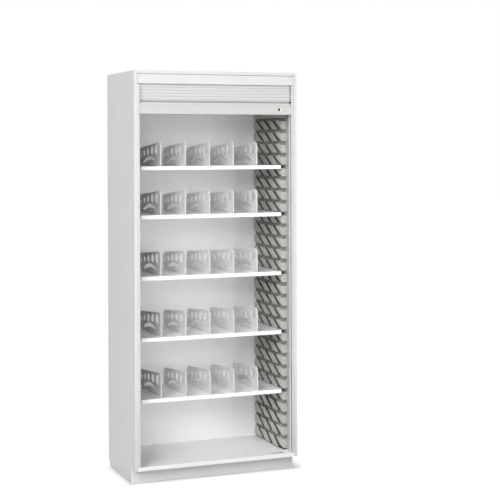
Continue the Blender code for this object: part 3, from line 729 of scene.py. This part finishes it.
class CABINET_OT_shelves(bpy.types.Operator):
    """Shelves with tongues, divider slots, a deep front edge and small near-black blocks at its ends,
    painted as the shade in the liners' groove mouths
    """

    bl_idname = "cabinet.shelves"
    bl_label = "Shelves"

    def execute(self, context):
        s = sizes()
        plastic = finish("shelf_plastic", finishes().shelf, 0.3, fine=600.0, contrast=0.012)
        # Painted shade: near-black for the blocks in the liners' groove mouths
        painted_shade = finish("shelf_stop", finishes().gap, 0.6, fine=700.0, contrast=0.1)
        tongue_start, margin = 0.030, 0.0005
        for number in SHELVES:
            name = f"shelf_{number}"
            low, high = corners(name)
            bm = bmesh.new()
            narrow, step, seam = high.x - s.shelf_tongue, low.y + tongue_start, low.y + s.shelf_lip
            bend, start = s.shelf_corner, low.y + s.shelf_corner
            front = [(s.shelf_right, seam), *arc((s.shelf_right - bend, start), bend, 0, -90, 4),
                     *arc((bend - s.shelf_left, start), bend, -90, -180, 4)]
            right = [(narrow, seam), (narrow, step), (high.x, step), (high.x, high.y)]
            loops = [right + [(-x, y) for x, y in reversed(right)] + [(-s.shelf_left, seam)]]
            for k in DIVIDERS:
                loops += self.slots(f"divider_{number}_{k}")
            for points in loops:
                ring(bm, [(x, y, high.z) for x, y in points])
            filled(bm, bm.edges[:], dissolve=True)
            shared = sorted((v for v in bm.verts if abs(v.co.y - seam) < TINY), key=lambda v: v.co.x)
            bm.faces.new(shared[-2:] + [bm.verts.new((x, y, high.z)) for x, y in front])
            drawn_out(bm, bm.faces[:], (0, 0, -s.shelf_board))
            outward(bm, bm.faces)
            under = [f for f in bm.faces if f.normal.z < -0.9 and f.calc_center_median().y < seam]
            drawn_out(bm, under, (0, 0, low.z + s.shelf_board - high.z))
            outward(bm, bm.faces)
            rim = [e for e in bm.edges if all(v.co.y < seam - margin for v in e.verts)
                   and abs(e.verts[0].co.z - e.verts[1].co.z) < TINY]
            soften(bm, rim, s.shelf_round, 3)
            self.stops(bm, low.y, high.z)
            make_piece(f"tray_{name}", bm, [plastic, painted_shade], f"shelf_set_{number}", [name])
        return {"FINISHED"}

    def stops(self, bm, front, top):
        """Small near-black blocks beside the two ends of the front edge, painted as the shade in the
        liners' groove mouths.
        """
        s = sizes()
        play, near, far, foot, head, edge = 0.0006, 0.0085, 0.0165, 0.0135, 0.0008, 0.0020
        for side, reach in ((-1, s.shelf_left), (1, s.shelf_right)):
            x0, x1 = sorted((side * (reach + play), side * s.stop_reach))
            stop = cube(bm, (x0, front + near, top - foot), (x1, front + far, top - head))
            paint(faces_of(stop), 1)
            soften(bm, edges_of(stop), edge)

    def slots(self, divider):
        """Two slots for a divider's feet and a slit beside it, as flat outlines."""
        low, high = corners(divider)
        play, start, end, slit_front, slit_back = 0.0003, 0.0060, 0.0523, 0.095, 0.045
        x0, x1, slit = low.x - play, high.x + play, low.x - sizes().slit_aside
        spans = [(x0, x1, low.y + start, low.y + end), (x0, x1, high.y - end, high.y - start),
                 (slit, slit + sizes().slit_width, low.y + slit_front, high.y - slit_back)]
        return [[(a, c), (b, c), (b, d), (a, d)] for a, b, c, d in spans]


class CABINET_OT_dividers(bpy.types.Operator):
    """Upright dividers with round holes and a curved grip"""

    bl_idname = "cabinet.dividers"
    bl_label = "Dividers"

    def execute(self, context):
        s = sizes()
        plastic = finish("divider_plastic", finishes().divider, 0.42, fine=500.0, contrast=0.015,
                         through=0.25)
        for shelf in SHELVES:
            for number in DIVIDERS:
                name = f"divider_{shelf}_{number}"
                low, high = corners(name)
                run, floor = high.y - low.y, low.z + s.plate_foot
                bm = bmesh.new()
                loops = [ring(bm, [(low.x, low.y + u, floor + rise) for u, rise in points])
                         for points in [self.border(run)] + self.holes(run) + [self.grip(run)]]
                inner = {self.spot(v) for loop in loops[1:] for e in loop for v in e.verts}
                filled(bm, [e for loop in loops for e in loop])
                drawn_out(bm, bm.faces[:], (high.x - low.x, 0, 0))
                outward(bm, bm.faces)
                rims = [e for e in bm.edges if abs(e.verts[0].co.x - e.verts[1].co.x) < TINY
                        and min(v.co.z for v in e.verts) > floor - TINY]
                holes = [e for e in rims if all(self.spot(v) in inner for v in e.verts)]
                plain = set(rims) - set(holes)
                soften(bm, holes, s.plate_hole)
                soften(bm, [e for e in plain if e.is_valid], s.plate_round, 3)
                make_piece(f"plate_{name}", bm, [plastic], f"shelf_set_{shelf}", [name])
        return {"FINISHED"}

    def spot(self, vert):
        """A vertex's place on the plate's face."""
        return round(vert.co.y, 6), round(vert.co.z, 6)

    def top(self, u, run):
        """Height of the plate's sloping top edge at a distance behind its front."""
        s = sizes()
        return s.plate_front + (s.plate_back - s.plate_front) * u / run

    def border(self, run):
        """Outline of a plate with two feet, as (distance behind the front, height over the shelf)."""
        foot, notch, bend = sizes().plate_foot, sizes().plate_notch, sizes().plate_bend
        tip, slope, near, far = 0.004, 0.006, 0.030, 0.052
        points = [(0.0, 0.0), (tip, 0.0), (slope, notch), (near, notch), (near, -foot), (far, -foot),
                  (far, 0.0), (run - far, 0.0), (run - far, -foot), (run - near, -foot),
                  (run - near, notch), (run, notch)]
        points += arc((run - bend, self.top(run - bend, run) - bend), bend, 0, 85, 7)
        points += arc((bend, self.top(bend, run) - bend), bend, 85, 180, 9)
        return points

    def holes(self, run):
        """Five round holes that grow towards the front."""
        drop, sag = 0.033, 4.4
        loops = []
        for share, radius in HOLES:
            u = share * run
            rise = self.top(u, run) - drop - (u - run / 2) ** 2 / sag
            loops.append(arc((u, rise), radius, 0, 350, 35))
        return loops

    def grip(self, run):
        """Curved finger grip: two flat arches that meet in a point in front and a blunt end behind."""
        def arch(start, stop, crown, peak, bend):
            shares = [start + (stop - start) * i / 14 for i in range(15)]
            return [(u, peak - bend * (u - crown * run) ** 2) for u in (s * run for s in shares)]

        return arch(*GRIP_OVER) + [(GRIP_END[0] * run, GRIP_END[1])] + arch(*GRIP_UNDER)


class CABINET_OT_shutter(bpy.types.Operator):
    """Bottom bar and slatted leaves"""

    bl_idname = "cabinet.shutter"
    bl_label = "Shutter"

    def execute(self, context):
        f = finishes()
        self.bar()
        materials = [finish("slat_plastic", f.slats, 0.40, contrast=0.015, bump=0.06, streaks=True),
                     finish("hinge_strip", f.hinge, 0.7, contrast=0.06),
                     finish("slat_web", f.web, 0.6, contrast=0.03),
                     finish("shutter_rubber", f.gap, 0.9)]
        for number in LEAVES:
            name = f"shutter_leaf_{number:02d}"
            body = "shutter" if number == 1 else f"leaf_{number:02d}"
            bm = bmesh.new()
            self.leaf(bm, name, number == 1)
            make_piece(f"slats_{number:02d}", bm, materials, body, [name])
        return {"FINISHED"}

    def leaf(self, bm, name, on_bar):
        """A run of crowned slats on a thin web, with the strip that ties the lowest to the bar, painted
        dark as the shade in the recess above the bar.
        """
        s = sizes()
        low, high = corners(name)
        web_thick, overlap, bare_end, curve = 0.0014, 0.0006, 0.004, 2.5
        web = high.y - web_thick
        start = low.z - s.bar_drop if on_bar else low.z
        foot = start + s.hinge_strip if on_bar else start
        if on_bar:
            # Painted shade: the strip under the lowest slat is dark for the recess above the bar
            joint = high.x - s.bar_notch
            # Painted shade: the strip's end beside the lock is near-black for the shade inside the bar's
            # notch
            for left, right, index in ((low.x, joint, 1), (joint, high.x, 3)):
                paint(faces_of(cube(bm, (left, web, start), (right, high.y, foot))), index)
        paint(faces_of(cube(bm, (low.x, web, foot), high)), 2)
        end = s.slat_end if on_bar else bare_end
        left, right = low.x + end, high.x - end
        full = s.slat_pitch - s.slat_joint
        top = foot + (s.slat_first if on_bar else full)
        while top < high.z:
            height = min(full, top - foot)
            front = [(low.y + s.slat_crown * abs(2 * t - 1) ** curve, top - height * t)
                     for t in (0.0, 0.08, 0.2, 0.38, 0.62, 0.8, 0.92, 1.0)]
            outline = [(web + overlap, top)] + front + [(web + overlap, top - height)]
            beam(bm, outline, left, right)
            if on_bar:
                self.tabs(bm, outline, top - height / 2, height, left, right)
            top += s.slat_pitch

    def tabs(self, bm, outline, middle, height, left, right):
        """Lower tabs at the two ends of a slat."""
        s = sizes()
        overlap, share = 0.001, 1 - 2 * s.tab_notch / height
        tab = [(y, middle + (z - middle) * share) for y, z in outline]
        for start, end in ((left - s.slat_tab, left + overlap), (right - overlap, right + s.slat_tab)):
            beam(bm, tab, start, end)

    def bar(self):
        """Extruded bottom bar: a main band with the lock's bore, and a shorter strip above its groove."""
        s = sizes()
        low, high = corners("bottom_bar")
        high.z -= s.bar_drop
        groove = high.z - s.bar_groove
        overlap, band_edge, strip_edge = 0.001, 0.0016, 0.0012
        bm = bmesh.new()
        band = beam(bm, ((low.y, low.z), (high.y, low.z), (high.y, groove), (low.y, groove)),
                    low.x, high.x)
        soften(bm, edges_of(band), band_edge, 3)
        self.bore(bm)
        strip = beam(bm, ((low.y, groove), (high.y, groove - overlap), (high.y, high.z), (low.y, high.z)),
                     low.x, high.x - s.bar_notch)
        soften(bm, edges_of(strip), strip_edge)
        plastic = finish("bar_plastic", finishes().bar, 0.40, contrast=0.012, bump=0.06, streaks=True)
        make_piece("bottom_rail", bm, [plastic], "shutter", ["bottom_bar"])

    def bore(self, bm):
        """Round hole through the band for the lock cylinder."""
        low, high = corners("lock_cylinder")
        axis, radius, reach = (low + high) / 2, 0.0092, 0.0105
        sliced(bm, ((axis.x - reach, X), (axis.x + reach, X), (axis.z - reach, Z), (axis.z + reach, Z)))
        squares = [f for f in bm.faces if abs(f.normal.y) > 0.9
                   and (f.calc_center_median().xz - axis.xz).length < NEAR]
        rims = []
        for square in squares:
            depth = square.calc_center_median().y
            turn = Matrix.Translation((axis.x, depth, axis.z)) @ Matrix.Rotation(math.radians(90), 4, "X")
            circle = bmesh.ops.create_circle(bm, segments=32, radius=radius, matrix=turn)["verts"]
            border = square.edges[:]
            bmesh.ops.delete(bm, geom=[square], context="FACES_ONLY")
            bmesh.ops.bridge_loops(bm, edges=border + edges_of(circle))
            rims += edges_of(circle)
        bmesh.ops.bridge_loops(bm, edges=rims)


class CABINET_OT_lock(bpy.types.Operator):
    """Cylinder lock, its cam and the strike plate in the floor"""

    bl_idname = "cabinet.lock"
    bl_label = "Lock"

    def execute(self, context):
        plated = {"spread": 0.12, "contrast": 0.1, "bump": 0.1, "depth": 0.00005}
        nickel = steel("satin_nickel", finishes().nickel, 0.34, cloud=120.0, **plated)
        self.rosette(nickel)
        self.plug(nickel)
        self.strike()
        dress("lock_cam", steel("zinc_plate", finishes().steel, 0.4, cloud=90.0, **plated))
        return {"FINISHED"}

    def rosette(self, nickel):
        """Turned collar with a rolled rim and a dished face, and the cylinder's body behind it."""
        low, high = corners("lock_cylinder")
        axis, rim, face = (low + high) / 2, (high.x - low.x) / 2, low.y
        bar = corners("bottom_bar")[0].y
        inset, play, edge, dish, seat = 0.0015, 0.0002, 0.0006, 0.0027, 0.0030
        body, hole = rim - inset, sizes().plug_radius + play
        bm = bmesh.new()
        turned(bm, [(hole, high.y), (body, high.y), (body, bar), (rim, bar)]
               + [(rim - inward, face + behind) for inward, behind in COLLAR]
               + [(hole + edge, face + dish), (hole, face + seat)], axis)
        make_piece("lock_collar", bm, [nickel], "shutter", ["lock_cylinder"])

    def plug(self, nickel):
        """Key plug with a slit in its face."""
        low, high = corners("lock_plug")
        axis, radius = (low + high) / 2, sizes().plug_radius
        face = low.y + sizes().plug_recess
        depth, overlap, edge, play, core = 0.004, 0.0002, 0.0003, 0.0001, 0.0004
        wide, tall = 0.0011, 0.0040
        bm = bmesh.new()
        for points in (arc((0, 0), radius, 0, 348, 29),
                       ((-wide, -tall), (wide, -tall), (wide, tall), (-wide, tall))):
            ring(bm, [(axis.x + a, face, axis.z + b) for a, b in points])
        filled(bm, bm.edges[:])
        drawn_out(bm, bm.faces[:], (0, depth, 0))
        outward(bm, bm.faces)
        soften(bm, [e for e in bm.edges if all(abs(v.co.y - face) < TINY for v in e.verts)], edge)
        start, body = face + depth - overlap, radius - play
        turned(bm, [(core, start), (body, start), (body, high.y), (core, high.y)], axis, 30)
        make_piece("lock_key_plug", bm, [nickel], "lock", ["lock_plug"])

    def strike(self):
        """Strike plate: a pale rim round a near-black band with the cam's slot; the band is painted shade.
        """
        low, high = corners("strike_plate")
        middle = (low + high) / 2
        half = ((high.x - low.x) / 2, (high.y - low.y) / 2)
        rim, slot, drop = (0.0368, 0.0072), (0.0335, 0.0033), 0.0004
        pale = finish("strike_plastic", finishes().shelf, 0.35)
        bm = bmesh.new()
        for outer, inner, top, index in ((half, rim, high.z, 0), (rim, slot, high.z - drop, 1)):
            edges = []
            for a, b in (outer, inner):
                edges += ring(bm, [(middle.x + a * i, middle.y + b * j, low.z)
                                   for i, j in ((-1, -1), (1, -1), (1, 1), (-1, 1))])
            paint(faces_of(drawn_out(bm, filled(bm, edges), (0, 0, top - low.z))), index)
        make_piece("strike_inlay", bm, [pale, slot_shade_finish()], "cabinet", ["strike_plate"])


class CABINET_OT_head(bpy.types.Operator):
    """Finishes of the winding shaft, its brackets and the cover below them"""

    bl_idname = "cabinet.head"
    bl_label = "Head"

    def execute(self, context):
        tone = finishes().steel
        dress("head_cover", melamine())
        dress("winding_shaft", steel("shaft_alloy", tone, 0.35, fine=900.0, contrast=0.06, streaks=True))
        for word, _ in SIDES:
            dress(f"shaft_bracket_{word}", steel("bracket_steel", shade(tone, 0.9), 0.45, cloud=60.0,
                                                 contrast=0.1))
        return {"FINISHED"}


class CABINET_OT_stage(bpy.types.Operator):
    """White studio floor, soft lamps and the camera"""

    bl_idname = "cabinet.stage"
    bl_label = "Studio"

    def execute(self, context):
        scene = context.scene
        scene.view_settings.view_transform = "Standard"
        self.floor()
        self.world(scene)
        for name, place, size, power in LAMPS:
            turn = (AIM - Vector(place)).to_track_quat("-Z", "Y").to_euler()
            self.lamp(name, place, turn, (size, size), power)
        # Stands for the light thrown up by a bright floor in front
        fill = self.lamp("fill", (0.8, -2.6, 0.02), (math.pi, 0.0, 0.0), (2.4, 3.0), 36.0)
        fill.visible_camera = False
        self.camera(scene)
        return {"FINISHED"}

    def seen_rays(self, tree):
        """A node that marks the rays that see the white surround."""
        rays = add_node(tree, "ShaderNodeLightPath")
        mirror = add_node(tree, "ShaderNodeMath", operation="MAXIMUM")
        seen = add_node(tree, "ShaderNodeMath", operation="MAXIMUM")
        wire(tree, (rays, "Is Glossy Ray", mirror, 0), (rays, "Is Transmission Ray", mirror, 1),
             (rays, "Is Camera Ray", seen, 0), (mirror, 0, seen, 1))
        return seen

    def floor(self):
        """Pale floor that reads as white to the camera; its glow fades within 0.1 m of the foot, a painted
        contact shadow on top of the real one.
        """
        bm = bmesh.new()
        bmesh.ops.create_grid(bm, x_segments=1, y_segments=1, size=30.0)
        material = bpy.data.materials.new("studio_white")
        material.use_nodes = True
        tree = material.node_tree
        shader = tree.nodes["Principled BSDF"]
        shader.inputs["Roughness"].default_value = 0.9
        shader.inputs["Emission Color"].default_value = (1.0, 1.0, 1.0, 1.0)
        seen = self.seen_rays(tree)
        bounced, viewed = (0.32, 0.32, 0.32, 1.0), (0.55, 0.55, 0.55, 1.0)
        tone = add_node(tree, "ShaderNodeMix", {6: bounced, 7: viewed}, data_type="RGBA")
        place = add_node(tree, "ShaderNodeTexCoord")
        mirrored = add_node(tree, "ShaderNodeVectorMath", operation="ABSOLUTE")
        # Painted shadow: the glow seen by the camera drops to about a quarter at the foot and is full 0.1
        # m away
        foot = (CAD_BOX[1][0], -corners("kick_board")[0].y, 0.0)
        beyond = add_node(tree, "ShaderNodeVectorMath", {1: foot}, operation="SUBTRACT")
        outside = add_node(tree, "ShaderNodeVectorMath", {1: (0, 0, 0)}, operation="MAXIMUM")
        away = add_node(tree, "ShaderNodeVectorMath", operation="LENGTH")
        rise = add_node(tree, "ShaderNodeMapRange", {"From Min": 0.0, "From Max": 0.10, "To Min": 0.26,
                                                     "To Max": 1.0})
        glow_with_painted_shadow = add_node(tree, "ShaderNodeMath", operation="MULTIPLY")
        wire(tree, (seen, 0, tone, 0), (tone, 2, shader, "Base Color"), (place, "Object", mirrored, 0),
             (mirrored, 0, beyond, 0), (beyond, 0, outside, 0), (outside, 0, away, 0),
             (away, "Value", rise, "Value"), (seen, 0, glow_with_painted_shadow, 0), (rise, "Result", glow_with_painted_shadow, 1),
             (glow_with_painted_shadow, 0, shader, "Emission Strength"))
        put_mesh("studio_floor", bm, [material])

    def world(self, scene):
        """White surround for the camera and soft light for the rest."""
        world = bpy.data.worlds.new("studio_world")
        world.use_nodes = True
        scene.world = world
        tree = world.node_tree
        tree.nodes.clear()
        white = add_node(tree, "ShaderNodeBackground", {"Color": (1, 1, 1, 1), "Strength": 1.0})
        soft = add_node(tree, "ShaderNodeBackground", {"Color": (1, 1, 1, 1), "Strength": 0.05})
        mix = add_node(tree, "ShaderNodeMixShader")
        out = add_node(tree, "ShaderNodeOutputWorld")
        wire(tree, (self.seen_rays(tree), 0, mix, 0), (soft, 0, mix, 1), (white, 0, mix, 2),
             (mix, 0, out, 0))

    def lamp(self, name, place, turn, size, power):
        """Soft box of a given size."""
        data = bpy.data.lights.new(name, "AREA")
        data.shape = "RECTANGLE"
        data.size, data.size_y = size
        data.energy = power
        lamp = put(name, data)
        lamp.location, lamp.rotation_euler = place, turn
        return lamp

    def camera(self, scene):
        """Camera at the photographer's place, level and shifted down to frame the cabinet."""
        data = bpy.data.cameras.new("view")
        data.lens = 93.84
        data.sensor_width = 36.0
        data.shift_y = -0.2077
        data.dof.use_dof = False
        scene.camera = put("view", data)
        pan, level, roll = (Matrix.Rotation(math.radians(angle), 4, axis) for angle, axis in
                            ((CAMERA_PAN, "Z"), (90, "X"), (CAMERA_ROLL, "Z")))
        scene.camera.matrix_world = Matrix.Translation(CAMERA_PLACE) @ pan @ level @ roll


class CABINET_PT_panel(bpy.types.Panel):
    """Lists the cabinet's pieces in the sidebar"""

    bl_idname = "CABINET_PT_panel"
    bl_label = "Storage Cabinet"
    bl_space_type = "VIEW_3D"
    bl_region_type = "UI"
    bl_category = "Cabinet"

    def draw(self, context):
        for operator in OPERATORS:
            self.layout.operator(operator.bl_idname)
        for group in (context.scene.cabinet_sizes, context.scene.cabinet_finishes):
            column = self.layout.column()
            for key in group.bl_rna.properties.keys():
                if key not in ("name", "rna_type"):
                    column.prop(group, key)


OPERATORS = (
    CABINET_OT_stage,
    CABINET_OT_boards,
    CABINET_OT_guides,
    CABINET_OT_liners,
    CABINET_OT_shelves,
    CABINET_OT_dividers,
    CABINET_OT_shutter,
    CABINET_OT_lock,
    CABINET_OT_head,
)
CLASSES = (CabinetSizes, CabinetFinishes) + OPERATORS + (CABINET_PT_panel,)


def register():
    for cls in CLASSES:
        bpy.utils.register_class(cls)
    bpy.types.Scene.cabinet_sizes = PointerProperty(type=CabinetSizes)
    bpy.types.Scene.cabinet_finishes = PointerProperty(type=CabinetFinishes)


def unregister():
    del bpy.types.Scene.cabinet_finishes
    del bpy.types.Scene.cabinet_sizes
    for cls in reversed(CLASSES):
        bpy.utils.unregister_class(cls)


def main():
    register()
    bpy.ops.cabinet.stage()
    bpy.ops.cabinet.boards()
    bpy.ops.cabinet.guides()
    bpy.ops.cabinet.liners()
    bpy.ops.cabinet.shelves()
    bpy.ops.cabinet.dividers()
    bpy.ops.cabinet.shutter()
    bpy.ops.cabinet.lock()
    bpy.ops.cabinet.head()


if __name__ == "__main__":
    main()
